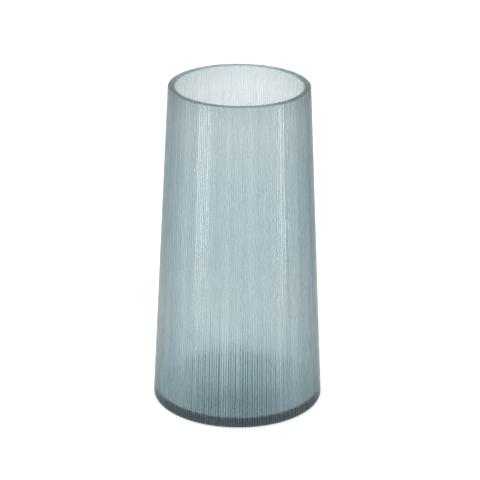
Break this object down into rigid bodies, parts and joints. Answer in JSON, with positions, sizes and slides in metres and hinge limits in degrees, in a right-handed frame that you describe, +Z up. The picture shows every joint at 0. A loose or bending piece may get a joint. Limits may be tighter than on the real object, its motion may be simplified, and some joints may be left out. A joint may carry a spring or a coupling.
{
  "type": "glass bud vase",
  "caption": "Tapered smoke-blue glass vase with fine vertical cut lines outside, a polished flat rim and a thick flat base, for a few cut stems.",
  "frame": {"origin": "centre of the underside, on the table", "axes": "+Z up along the vase's axis, towards the mouth; X and Y are alike, because the vase is round"},
  "size_m": [0.1038, 0.1038, 0.2],
  "materials": {
    "cut_glass": "pale smoke-blue glass, satin outside with fine vertical cut lines, polished inside and at the rim",
    "base_glass": "the same glass, polished, reading darker because it is seen edge-on"
  },
  "bodies": {
    "root": {"wall": "cut_glass", "base": "base_glass"}
  },
  "joints": []
}
